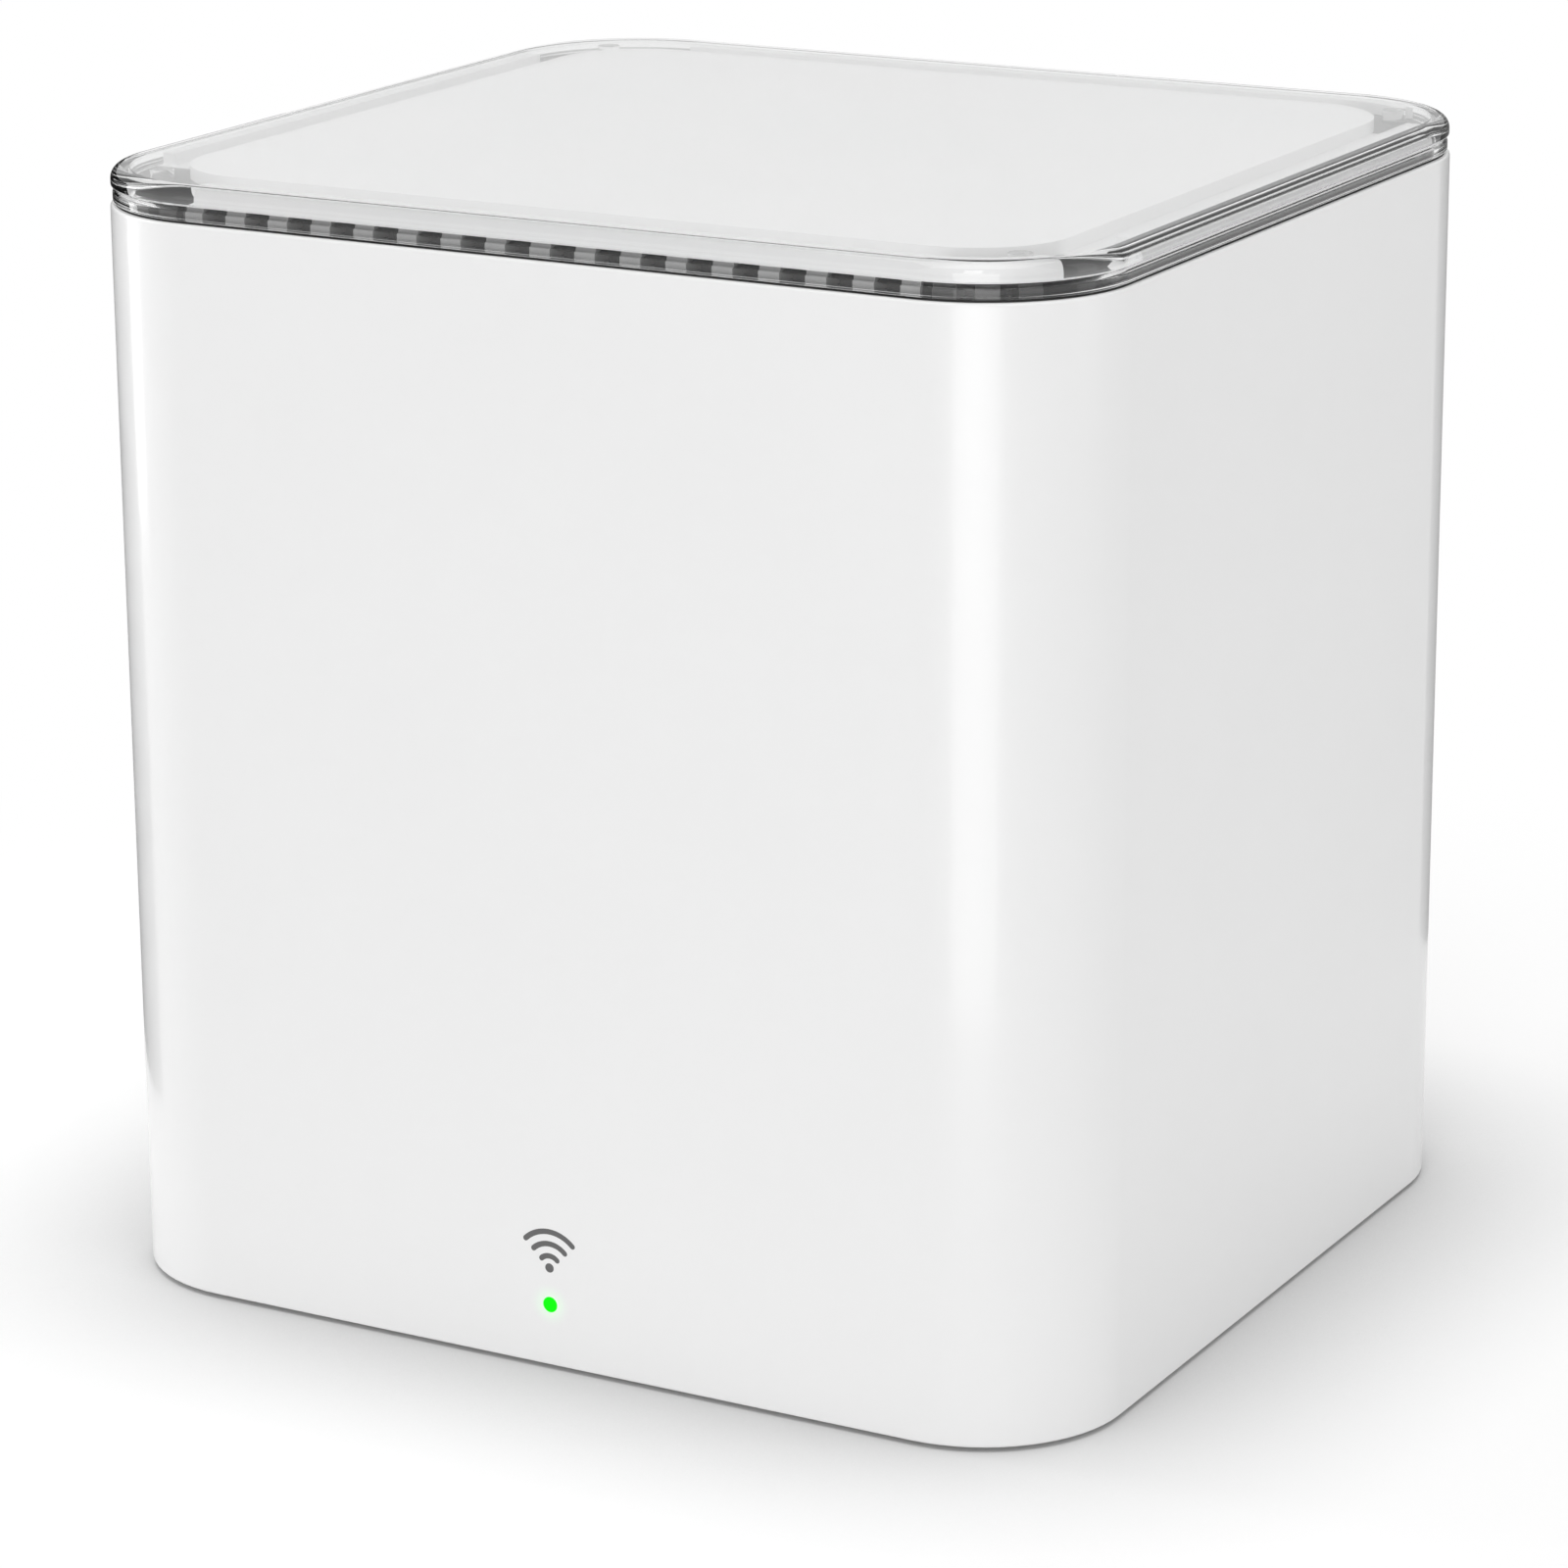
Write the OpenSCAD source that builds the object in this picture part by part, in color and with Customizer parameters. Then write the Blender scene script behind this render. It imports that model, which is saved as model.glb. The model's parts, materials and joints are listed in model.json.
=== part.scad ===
// Cube-shaped wireless router: a white sleeve over a base, a clear cap over a white top panel,
// and the board, sockets, buttons, heat sink and antennas inside.
// Millimetres. +Z is up, the front face looks along -Y, and the feet stand on z = 0.

/* [Body] */
// Width of the white sleeve
body_w = 100; // [96:0.5:130]
// Depth of the white sleeve
body_d = 92.5; // [88:0.5:120]
// Height of the white sleeve
body_h = 100.6; // [80:0.1:130]
// Outer radius of the upright corners
corner_r = 13.6; // [12:0.1:16.5]
// Thickness of the sleeve wall
wall = 2; // [1.6:0.1:2.6]
// Clearance between parts that are put together by hand
fit_gap = 0.15; // [0.1:0.01:0.2]

/* [Clear cap] */
// Height of the clear cap above the seam
cap_h = 3.2; // [2.9:0.1:4]
// Height of the seam between the sleeve and the cap
seam_h = 0.2; // [0.15:0.05:0.4]
// Thickness of the cap's side wall
cap_wall = 1.6; // [1.2:0.1:2]
// Thickness of the clear plate over the top panel
cap_plate = 0.8; // [0.6:0.1:1]
// Radius of the cap's top edge
cap_edge_r = 0.7; // [0.4:0.1:0.9]
// How far the cap's lower skirt stands in from the sleeve
skirt_inset = 0.25; // [0.1:0.05:0.5]
// Height of the cap's lower skirt
skirt_h = 1.2; // [1:0.1:1.4]
// Height of the groove between skirt and slab
groove_h = 0.3; // [0.2:0.05:0.5]
// Depth of the groove between skirt and slab
groove_d = 0.45; // [0.3:0.05:0.6]
// Radius of the pins that hold the cap to its frame
cap_pin_r = 1.1; // [0.8:0.1:1.2]
// Distance of those pins' centres from the sleeve's outline
cap_pin_inset = 4.6; // [4.5:0.05:4.7]

/* [Top panel] */
// Distance from the sleeve's outline to the white panel's edge
panel_inset = 6.6; // [6:0.1:9]
// Corner radius of the white panel
panel_r = 8.6; // [6:0.1:10]
// Thickness of the white panel
panel_t = 1.2; // [0.8:0.1:1.4]

/* [Vent frame] */
// Depth of the ledge in the sleeve that carries the vent frame
ledge_w = 3; // [2:0.1:4]
// Thickness of that ledge
ledge_t = 1.6; // [1.2:0.1:2]
// Height of the frame's collar inside the sleeve
collar_h = 3; // [2.4:0.1:4]
// Thickness of the frame's top plate
deck_t = 0.6; // [0.5:0.1:0.8]
// Thickness of the upright bars behind the clear cap
bar_t = 1.4; // [1:0.1:2]
// Width of one vent rib
rib_w = 2; // [1.6:0.1:2.4]
// Distance from one vent rib to the next
rib_pitch = 4.45; // [4:0.05:6]
// Depth of one vent rib
rib_d = 2.4; // [2:0.1:2.6]

/* [Feet and base] */
// How far the feet stand out below the sleeve
foot_show = 0.4; // [0.3:0.1:1]
// Radius of a rubber foot
foot_r = 5.2; // [4.4:0.1:5.4]
// Height of a rubber foot
foot_h = 1.8; // [1.6:0.1:2.4]
// How far the base plate is set up inside the sleeve
base_recess = 0.6; // [0.4:0.1:1]
// Thickness of the base plate
base_t = 1.6; // [1.4:0.1:2.2]
// Distance of the screw bosses from the centres of the corner arcs, along X and Y
boss_shift = 3.1; // [2.6:0.1:3.4]
// Radius of the sleeve's screw bosses
boss_r = 3.6; // [3.2:0.1:4]
// Height of the sleeve's screw bosses
boss_h = 12; // [10:1:16]
// Radius of the case screws' shanks
screw_r = 1.5; // [1.2:0.1:1.6]
// Length of a case screw's shank
screw_len = 9; // [7:0.5:10]
// Width of a vent slot in the base
slot_w = 1.6; // [1:0.1:2]
// Length of a vent slot in the base
slot_len = 34; // [20:1:40]
// Number of vent slots in the base
slot_count = 11; // [5:2:13]

/* [Board] */
// Height of the status light above the sleeve's lower edge
led_z = 5.86; // [5.5:0.01:8]
// Thickness of the circuit board
board_t = 1.6; // [1.2:0.1:2]
// Distance from the sleeve's inner wall to the board's edge
board_gap = 3; // [2.8:0.1:4]
// Radius of the light pipe's visible end
pipe_r = 0.72; // [0.6:0.02:1]
// Size of the main processor
soc_w = 16; // [12:1:19]
// Height of the main processor
soc_h = 1.2; // [0.9:0.1:1.5]
// Thickness of the thermal pad
pad_t = 0.5; // [0.4:0.1:1]

/* [Heat sink] */
// Width of the heat sink
sink_w = 40; // [34:1:42]
// Depth of the heat sink
sink_d = 36; // [30:1:38]
// Height of the fins
fin_h = 12; // [8:1:16]
// Number of fins
fin_count = 9; // [5:2:11]
// Thickness of a fin
fin_t = 1.2; // [0.8:0.1:1.6]
// Thickness of the heat sink's base
sink_t = 2; // [1.5:0.1:3]

/* [Rear sockets] */
// Width of the port window in the sleeve
window_w = 66; // [64:0.5:70]
// Height of the port window above the network jacks
window_h = 2.19; // [2:0.01:5]
// How far the port panel is set in from the rear face
panel_recess = 0.8; // [0.6:0.1:1.2]
// Thickness of the lip behind the port panel
lip_t = 1.4; // [1.2:0.1:1.6]
// Width of a network jack
jack_w = 16; // [15.4:0.1:16.4]
// Height of a network jack
jack_h = 13.3; // [12.8:0.1:14]
// Depth of a network jack
jack_d = 21.3; // [18:0.1:23]
// Width of the plug cavity of a network jack
cavity_w = 11.9; // [11.7:0.1:12.4]
// Height of the plug cavity of a network jack
cavity_h = 7.8; // [7.6:0.1:8.4]
// Depth of the plug cavity of a network jack
cavity_d = 14.5; // [13:0.1:15]
// Radius of the power jack's barrel
dc_hole_r = 3.15; // [3:0.05:3.3]
// Radius of the power jack's centre pin
dc_pin_r = 1.05; // [0.9:0.05:1.25]

/* [Buttons] */
// Radius of the pairing button
button_r = 2.2; // [1.8:0.1:2.4]
// Radius of the reset button
reset_r = 1.3; // [1.1:0.1:1.5]
// Running clearance round a button, all round
button_gap = 0.08; // [0.05:0.01:0.1]
// Travel of both buttons
button_travel = 0.3; // [0.2:0.05:0.35]

/* [Antennas] */
// Width of the antenna frame
frame_w = 82; // [78:1:84]
// Depth of the antenna frame
frame_d = 76; // [72:1:78]
// Width of the frame's rings
ring_w = 4; // [3:0.5:5]
// Height of the frame's rings
ring_h = 3; // [2:0.5:4]
// Width of an antenna board
antenna_w = 24; // [16:1:28]
// Thickness of an antenna board
antenna_t = 0.8; // [0.6:0.1:1]
// Diameter of the antenna leads
coax_d = 1.2; // [0.8:0.1:1.4]

/* [Hidden] */
$fn = 48;
EPS = 0.01;

// levels of the case
sleeve_z0 = foot_show;
sleeve_z1 = sleeve_z0 + body_h;
cap_z0 = sleeve_z1 + seam_h;
cap_z1 = cap_z0 + cap_h;
cap_under = cap_z1 - cap_plate;
base_z0 = sleeve_z0 + base_recess;
base_z1 = base_z0 + base_t;

// vent frame: ledge in the sleeve, collar, deck plate and bars
deck_z1 = cap_under - panel_t;
deck_z0 = deck_z1 - deck_t;
collar_z1 = sleeve_z1 - 0.1;
collar_z0 = collar_z1 - collar_h;
ledge_z0 = collar_z0 - ledge_t;
bar_gap = 0.35;
bar_inset = max(skirt_inset + cap_wall + bar_gap, wall + fit_gap);
bar_z1 = cap_under - 0.1;
collar_t = 2;
flange_t = 0.7;
plenum_t = 1.5;
screen_t = 0.8;
screen_gap = 0.1;
deck_boss_r = 2.4;
boss_reach = boss_shift * sqrt(2) + deck_boss_r;
plenum_inset = corner_r - boss_reach;
deck_screw_r = 1;

// case screws and feet stand on one axis near each corner
boss_x = body_w / 2 - corner_r + boss_shift;
boss_y = body_d / 2 - corner_r + boss_shift;
cap_pin_shift = (corner_r - cap_pin_inset) / sqrt(2);
cap_pin_x = body_w / 2 - corner_r + cap_pin_shift;
cap_pin_y = body_d / 2 - corner_r + cap_pin_shift;
head_r = 2.6;
head_h = 1.8;
foot_roof = foot_h;
head_roof = foot_roof + head_h;
base_boss_z1 = head_roof + 1.2;
sleeve_boss_z0 = base_boss_z1 + 0.1;

// inner faces of the sleeve
in_w = body_w - 2 * wall;
in_d = body_d - 2 * wall;
in_r = corner_r - wall;

// board
led_h = 1.5;
board_z1 = sleeve_z0 + led_z - led_h / 2;
board_z0 = board_z1 - board_t;
board_w = in_w - 2 * board_gap;
board_d = in_d - 2 * board_gap;
notch_r = boss_r + 1.6;

// rear panel: a plate in the window and a lip behind the sleeve's wall
rear_y = body_d / 2;
port_y1 = rear_y - panel_recess;
lip_y1 = rear_y - wall - fit_gap;
lip_y0 = lip_y1 - lip_t;
lip_w = 2;
seat_t = 0.4;
window_z1 = board_z1 + jack_h + window_h;
jack_front = port_y1 - 0.25;
dc_x = -24.5;
wan_x = -8;
lan_x = 9.5;
reset_x = 21.2;
mesh_x = 28;
dc_w = 9;
dc_h = 11;
dc_d = 14.2;
dc_depth = 10;
dc_z = board_z1 + 6.5;
cavity_z1 = board_z1 + 11.2;
cavity_z0 = cavity_z1 - cavity_h;
shell_t = 0.3;

// buttons and their switches lie on one axis each
button_z = board_z1 + 1.9;
switch_w = 6;
switch_d = 3.6;
switch_h = 3.6;
switch_y1 = lip_y0 - 2.25;
plunger_r = 1.2;
plunger_y0 = switch_y1 - 1.3;
plunger_y1 = switch_y1 + 1;
dome_t = 0.1;
dome_y0 = plunger_y0 - button_travel - 0.1 - dome_t;
button_flange_t = 0.8;
button_y1 = rear_y - 0.25;
reset_y1 = port_y1 - 0.6;

// processor, pad and heat sink
sink_y = -4;
pad_z0 = board_z1 + soc_h;
sink_z0 = pad_z0 + pad_t;
sink_z1 = sink_z0 + sink_t;
sink_pin_x = sink_w / 2 - 4;
sink_pin_y = sink_d / 2 - 4;
sink_pin_r = 1.4;
sink_head_r = 2.8;
sink_spring_r = 2.3;
spring_wire = 0.6;
sink_head_z = sink_z1 + 7;

// radio shields, antenna sockets
shield_x = 32.5;
shield_w = 14;
shield_d = 20;
shield_h = 2.2;
socket_x = 22.8;
socket_y = 7;
socket_h = 2.2;
socket_r = 1.3;

// antenna frame: legs on pads, and two rings
leg_t = 2;
leg_w = 9;
leg_y = 20;
foot_pad_w = 9;
pad_h = 1.6;
frame_screw_x = frame_w / 2 - leg_t - 3.6;
frame_screw_r = 1.25;
ring_low = 28;
ring_top = collar_z0 - 6;
peg_r = 1;
antenna_z0 = ring_low - 1.5;
antenna_z1 = ring_top + 1.5;
antenna_x = frame_w / 2 + 0.05;
antenna_y = frame_d / 2 + 0.05;
feed_z = (antenna_z0 + antenna_z1) / 2;
trace_t = 0.05;

// signal icon: a dot and three arcs, filled into the sleeve's front
icon_z = sleeve_z0 + 9.37;
icon_pitch = 1.15;
icon_stroke = 0.52;
icon_dot_r = 0.44;
icon_depth = 0.2;
icon_half_angle = 45;

// ---------- shapes used more than once ----------

module rounded(w, d, r) {
    square([w - 2 * r, d], center = true);
    square([w, d - 2 * r], center = true);
    for (sx = [-1, 1], sy = [-1, 1])
        translate([sx * (w / 2 - r), sy * (d / 2 - r)]) circle(r);
}

// the sleeve's outline moved in by a distance
module outline(inset) {
    rounded(body_w - 2 * inset, body_d - 2 * inset, corner_r - inset);
}

module layer(z0, z1) {
    translate([0, 0, z0]) linear_extrude(z1 - z0) children();
}

module band(inset, t, z0, z1) {
    layer(z0, z1) difference() {
        outline(inset);
        outline(inset + t);
    }
}

module block(w, d, z0, z1, x = 0, y = 0) {
    translate([x - w / 2, y - d / 2, z0]) cube([w, d, z1 - z0]);
}

module post(r, z0, z1, x = 0, y = 0) {
    translate([x, y, z0]) cylinder(r = r, h = z1 - z0);
}

// a round bar along +Y
module rod_y(r, y0, y1, x, z) {
    translate([x, y0, z]) rotate([-90, 0, 0]) cylinder(r = r, h = y1 - y0);
}

module at_corners(x, y) {
    for (sx = [-1, 1], sy = [-1, 1]) translate([sx * x, sy * y, 0]) children();
}

// ---------- swept round wires ----------

function unit(v) = v / norm(v);
function lerp_spline(p0, p1, p2, p3, t) =
    0.5 * (2 * p1 + (p2 - p0) * t + (2 * p0 - 5 * p1 + 4 * p2 - p3) * t * t
    + (3 * p1 - p0 - 3 * p2 + p3) * t * t * t);
function at_index(path, i) = path[max(0, min(len(path) - 1, i))];
function smooth_path(path, steps) = [
    for (i = [0:len(path) - 2], s = [0:steps - (i == len(path) - 2 ? 0 : 1)])
        lerp_spline(at_index(path, i - 1), path[i], path[i + 1], at_index(path, i + 2), s / steps)
];
function tangent(path, i) = unit(at_index(path, i + 1) - at_index(path, i - 1));
function side_of(t, guide) = unit(cross(guide, t));
function ring_points(centre, t, r, sides, guide) =
    let (u = side_of(t, guide), v = cross(t, u))
    [for (k = [0:sides - 1]) centre + r * (cos(360 * k / sides) * u + sin(360 * k / sides) * v)];

module wire(path, r, sides = 8, guide = [0.31, 0.17, 0.06]) {
    n = len(path);
    points = [for (i = [0:n - 1]) each ring_points(path[i], tangent(path, i), r, sides, guide)];
    walls = [
        for (i = [0:n - 2], k = [0:sides - 1])
            [(i + 1) * sides + k, (i + 1) * sides + (k + 1) % sides, i * sides + (k + 1) % sides, i * sides + k]
    ];
    ends = [
        [for (k = [0:sides - 1]) k],
        [for (k = [sides - 1:-1:0]) (n - 1) * sides + k]
    ];
    polyhedron(points = points, faces = concat(walls, ends));
}

// ---------- case ----------

module icon_shape() {
    circle(icon_dot_r);
    reach = 4 * icon_pitch;
    for (k = [1:3]) {
        r = k * icon_pitch;
        intersection() {
            difference() {
                circle(r + icon_stroke / 2);
                circle(r - icon_stroke / 2);
            }
            polygon([[0, 0], reach * [sin(icon_half_angle), cos(icon_half_angle)], [0, 1.5 * reach],
                     reach * [-sin(icon_half_angle), cos(icon_half_angle)]]);
        }
        for (s = [-1, 1])
            translate(r * [s * sin(icon_half_angle), cos(icon_half_angle)]) circle(icon_stroke / 2 - EPS);
    }
}

module icon_solid(depth) {
    translate([0, -body_d / 2 + depth, icon_z]) rotate([90, 0, 0]) linear_extrude(depth) icon_shape();
}

module sleeve_boss() {
    reach = in_r - boss_shift * sqrt(2) + wall / 2;
    post(boss_r, sleeve_boss_z0, sleeve_boss_z0 + boss_h);
    translate([0, -0.75, sleeve_boss_z0]) cube([reach, 1.5, boss_h]);
}

module outer_sleeve() color("white") difference() {
    union() {
        band(0, wall, sleeve_z0, sleeve_z1);
        band(wall / 2, wall / 2 + ledge_w, ledge_z0, collar_z0);
        at_corners(boss_x, boss_y) post(deck_boss_r, ledge_z0 - 1, collar_z0);
        intersection() {
            layer(sleeve_z0, sleeve_z1) outline(wall / 2);
            for (sx = [-1, 1], sy = [-1, 1])
                translate([sx * boss_x, sy * boss_y, 0]) rotate(atan2(sy, sx)) sleeve_boss();
        }
        for (sx = [-1, 1], sy = [-1, 1])
            translate([sx * boss_x, sy * boss_y, ledge_z0]) rotate(atan2(sy, sx))
                translate([0, -2, 0]) cube([in_r - boss_shift * sqrt(2) + wall / 2, 4, ledge_t]);
    }
    at_corners(boss_x, boss_y) {
        post(screw_r + 0.02, sleeve_boss_z0 - 1, sleeve_boss_z0 + boss_h - 2);
        post(deck_screw_r + 0.15, ledge_z0 - 2, collar_z0 + 1);
    }
    rod_y(pipe_r + 0.02, -body_d / 2 - 1, -body_d / 2 + wall + 1, 0, sleeve_z0 + led_z);
    translate([0, -EPS, 0]) icon_solid(icon_depth + EPS);
    translate([-window_w / 2, rear_y - wall - 2, sleeve_z0 - 1])
        cube([window_w, wall + 4, window_z1 - sleeve_z0 + 1]);
}

// vent ribs along the front and the back, and round each corner up to its diagonal
module ribs() {
    straight_x = body_w / 2 - corner_r;
    h = deck_z0 - collar_z1 + 2 * EPS;
    count = floor(straight_x / rib_pitch);
    out = corner_r - bar_inset;
    for (i = [-count:count], s = [-1, 1])
        block(rib_w, rib_d, collar_z1 - EPS, collar_z1 - EPS + h,
              i * rib_pitch, s * (body_d / 2 - bar_inset - rib_d / 2));
    for (sx = [-1, 1], sy = [-1, 1], a = [10:17.5:45])
        translate([sx * straight_x, sy * (body_d / 2 - corner_r), collar_z1 - EPS])
            rotate(90 * sy - sx * sy * a) translate([out - rib_d, -rib_w / 2, 0]) cube([rib_d + 1, rib_w, h]);
}

// windows in the upright bars, one at each corner, where the cap's pins pass
module bar_windows() {
    h = bar_z1 - deck_z1 + 1;
    straight_x = body_w / 2 - corner_r;
    straight_y = body_d / 2 - corner_r;
    for (sy = [-1, 1])
        translate([-body_w / 2, sy > 0 ? straight_y - 1 : -body_d / 2, deck_z1 + EPS])
            cube([body_w / 2 - straight_x + 1, corner_r + 1, h]);
    for (sy = [-1, 1])
        translate([body_w / 2 - 7, sy > 0 ? straight_y + 0.8 : -straight_y - 5.9, deck_z1 + EPS])
            cube([7, sy > 0 ? 8 : 9.9, h]);
}

module vent_frame() color("white") difference() {
    union() {
        band(wall + fit_gap, collar_t, collar_z0, collar_z1);
        band(wall + fit_gap, plenum_inset - wall - fit_gap + 1, collar_z1 - flange_t, collar_z1);
        difference() {
            band(plenum_inset, plenum_t, collar_z0, deck_z0 + EPS);
            // air slots through the plenum wall
            for (i = [-6:6]) {
                block(3, body_d, collar_z0 + 0.8, deck_z0, i * 5, 0);
                block(body_w, 3, collar_z0 + 0.8, deck_z0, 0, i * 4.6);
            }
        }
        layer(deck_z0, deck_z1) outline(bar_inset);
        difference() {
            band(bar_inset, bar_t, deck_z1 - EPS, bar_z1);
            bar_windows();
        }
        intersection() {
            layer(collar_z1 - 1, deck_z1) outline(bar_inset);
            ribs();
        }
        at_corners(boss_x, boss_y) post(deck_boss_r, collar_z0, deck_z0 + EPS);
    }
    at_corners(boss_x, boss_y) post(deck_screw_r + 0.02, collar_z0 - 1, deck_z0 - 0.2);
    at_corners(cap_pin_x, cap_pin_y) post(cap_pin_r + 0.05, deck_z0 - 1, bar_z1 + 1);
}

module vent_screen() color("dimgray")
    band(plenum_inset - screen_t - screen_gap, screen_t, collar_z1, deck_z0);

module top_panel() color("white")
    layer(deck_z1, cap_under)
        rounded(body_w - 2 * panel_inset, body_d - 2 * panel_inset, panel_r);

// cross-section of the cap's side, as [inset from the sleeve's outline, height]
function cap_section() = let (
    skirt_z1 = cap_z0 + skirt_h,
    slab_z0 = skirt_z1 + groove_h,
    inner = skirt_inset + cap_wall
) concat(
    [[inner, cap_z0], [skirt_inset + 0.25, cap_z0], [skirt_inset, cap_z0 + 0.3]],
    [[skirt_inset, skirt_z1 - 0.4], [skirt_inset + 0.12, skirt_z1 - 0.1]],
    [[groove_d + skirt_inset * 0.6, skirt_z1 + groove_h / 2], [0.1, slab_z0]],
    [for (a = [0:15:90]) [cap_edge_r * (1 - cos(a)), cap_z1 - cap_edge_r * (1 - sin(a))]],
    [[corner_r - 1, cap_z1], [corner_r - 1, cap_under], [inner, cap_under]]
);

// the same cross-section run round the sleeve's outline
module cap_side() {
    sx = body_w / 2 - corner_r;
    sy = body_d / 2 - corner_r;
    section = [for (p = cap_section()) [corner_r - p[0], p[1]]];
    for (k = [0:3]) {
        cx = (k == 0 || k == 3) ? sx : -sx;
        cy = k < 2 ? sy : -sy;
        run = (k % 2 == 0) ? 2 * sx : 2 * sy;
        translate([cx, cy, 0]) rotate(90 * k) rotate_extrude(angle = 90, $fn = 96) polygon(section);
        // straight run from this corner's end to the next corner
        translate([cx, cy, 0]) rotate(90 * k + 90) rotate([90, 0, 0]) mirror([0, 0, 1])
            linear_extrude(run) polygon(section);
    }
    block(2 * sx + 2.2, 2 * sy + 2.2, cap_under, cap_z1);
}

module clear_cap() color("lightgray", 0.4) {
    cap_side();
    at_corners(cap_pin_x, cap_pin_y) post(cap_pin_r, deck_z0 - 0.3, cap_under + 0.2);
}

// dark foam seal in the seam, under the cap's skirt
module cap_seal() color("black")
    band(skirt_inset + 0.25, min(cap_wall, wall) - 0.4, sleeve_z1, cap_z0);

module signal_icon() color("dimgray") icon_solid(icon_depth);

module light_pipe() color("lime") {
    front = -body_d / 2;
    flange_y = front + wall;
    rod_y(pipe_r, front, flange_y + EPS, 0, sleeve_z0 + led_z);
    rod_y(1.5, flange_y, flange_y + 0.8, 0, sleeve_z0 + led_z);
    rod_y(pipe_r, flange_y + 0.8 - EPS, -board_d / 2 + 0.2, 0, sleeve_z0 + led_z);
}

module base_plate() color("whitesmoke") difference() {
    union() {
        layer(base_z0, base_z1) outline(wall + fit_gap);
        at_corners(boss_x, boss_y) post(foot_r + 1, base_z0, foot_roof + 1.2);
        at_corners(boss_x, boss_y) post(head_r + 1.4, base_z0, base_boss_z1);
        at_corners(frame_screw_x, leg_y) post(3, base_z0, board_z0);
    }
    at_corners(boss_x, boss_y) {
        post(foot_r + 0.1, base_z0 - 1, foot_roof);
        post(head_r + 0.1, base_z0 - 1, head_roof);
        post(screw_r + 0.1, base_z0 - 1, base_boss_z1 + 1);
    }
    at_corners(frame_screw_x, leg_y) post(frame_screw_r + 0.02, base_z0 + 0.6, board_z0 + 1);
    for (i = [0:slot_count - 1])
        block(slot_w, slot_len, base_z0 - 1, base_z1 + 1, (i - (slot_count - 1) / 2) * 2.2 * slot_w, -12);
    block(44.4, 18.4, base_z0 - 1, base_z0 + 0.2, 0, 22);
    // seat for the port panel's lip
    translate([-window_w / 2 - lip_w - 0.2, lip_y0 - 0.2, base_z1 - seat_t])
        cube([window_w + 2 * lip_w + 0.4, 8, 2]);
}

module foot_at(sx, sy) color("gray") translate([sx * boss_x, sy * boss_y, 0]) {
    cylinder(r1 = foot_r - 0.3, r2 = foot_r, h = 0.3);
    translate([0, 0, 0.3]) cylinder(r = foot_r, h = foot_roof - 0.3);
}

module foot_front_left() foot_at(-1, -1);
module foot_front_right() foot_at(1, -1);
module foot_rear_left() foot_at(-1, 1);
module foot_rear_right() foot_at(1, 1);

// a screw that points up, with its head's underside at z = 0 and a cross recess
module screw_up(r, len, hr, hh) {
    difference() {
        union() {
            translate([0, 0, -EPS]) cylinder(r = r, h = len + EPS);
            translate([0, 0, -hh]) cylinder(r = hr, h = hh);
        }
        for (a = [0, 90]) rotate(a) block(1.2 * hr, 0.3 * hr, -hh - 1, -hh * 0.45);
    }
}

module base_screws() color("silver")
    at_corners(boss_x, boss_y) translate([0, 0, head_roof]) screw_up(screw_r, screw_len, head_r, head_h);

module deck_screws() color("silver")
    at_corners(boss_x, boss_y) translate([0, 0, ledge_z0 - 1])
        screw_up(deck_screw_r, ledge_t + 1 + collar_h - 0.5, 1.9, 1.4);

module rating_label() color("silver") block(44, 18, base_z0 + 0.05, base_z0 + 0.2, 0, 22);

// ---------- rear panel and sockets ----------

module port_panel() color("whitesmoke") difference() {
    union() {
        translate([-window_w / 2 + fit_gap, lip_y1, base_z0])
            cube([window_w - 2 * fit_gap, port_y1 - lip_y1, window_z1 - fit_gap - base_z0]);
        translate([-window_w / 2 - lip_w, lip_y0, base_z1 - seat_t])
            cube([window_w + 2 * lip_w, lip_t + EPS, window_z1 + lip_w - base_z1 + seat_t]);
    }
    for (x = [wan_x, lan_x])
        block(jack_w + 0.2, 20, board_z1 - 0.2, board_z1 + jack_h + 0.1, x, rear_y);
    block(dc_w + 0.2, 20, board_z1 - 0.2, board_z1 + dc_h + 0.1, dc_x, rear_y);
    rod_y(button_r + button_gap, rear_y - 10, rear_y + 5, mesh_x, button_z);
    rod_y(reset_r + button_gap, rear_y - 10, rear_y + 5, reset_x, button_z);
}

module button(x, r, y1) {
    flange_y1 = lip_y0 - 0.05;
    rod_y(r, flange_y1 - EPS, y1, x, button_z);
    rod_y(r + 0.9, flange_y1 - button_flange_t, flange_y1, x, button_z);
    rod_y(1, plunger_y1, flange_y1 - button_flange_t + EPS, x, button_z);
}

module mesh_button() color("lightgray") button(mesh_x, button_r, button_y1);
module reset_button() color("gray") button(reset_x, reset_r, reset_y1);

module plunger(x) {
    rod_y(plunger_r, plunger_y0, plunger_y1, x, button_z);
}

module mesh_plunger() color("black") plunger(mesh_x);
module reset_plunger() color("black") plunger(reset_x);

module switch_body(x) difference() {
    block(switch_w, switch_d, board_z1, board_z1 + switch_h, x, switch_y1 - switch_d / 2);
    rod_y(plunger_r + button_gap, dome_y0, switch_y1 + 1, x, button_z);
}

module mesh_switch() color("silver") switch_body(mesh_x);
module reset_switch() color("silver") switch_body(reset_x);

module switch_domes() color("silver")
    for (x = [mesh_x, reset_x]) rod_y(plunger_r - 0.1, dome_y0, dome_y0 + dome_t, x, button_z);

module at_jack(x) {
    translate([x, jack_front, 0]) children();
}

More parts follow.
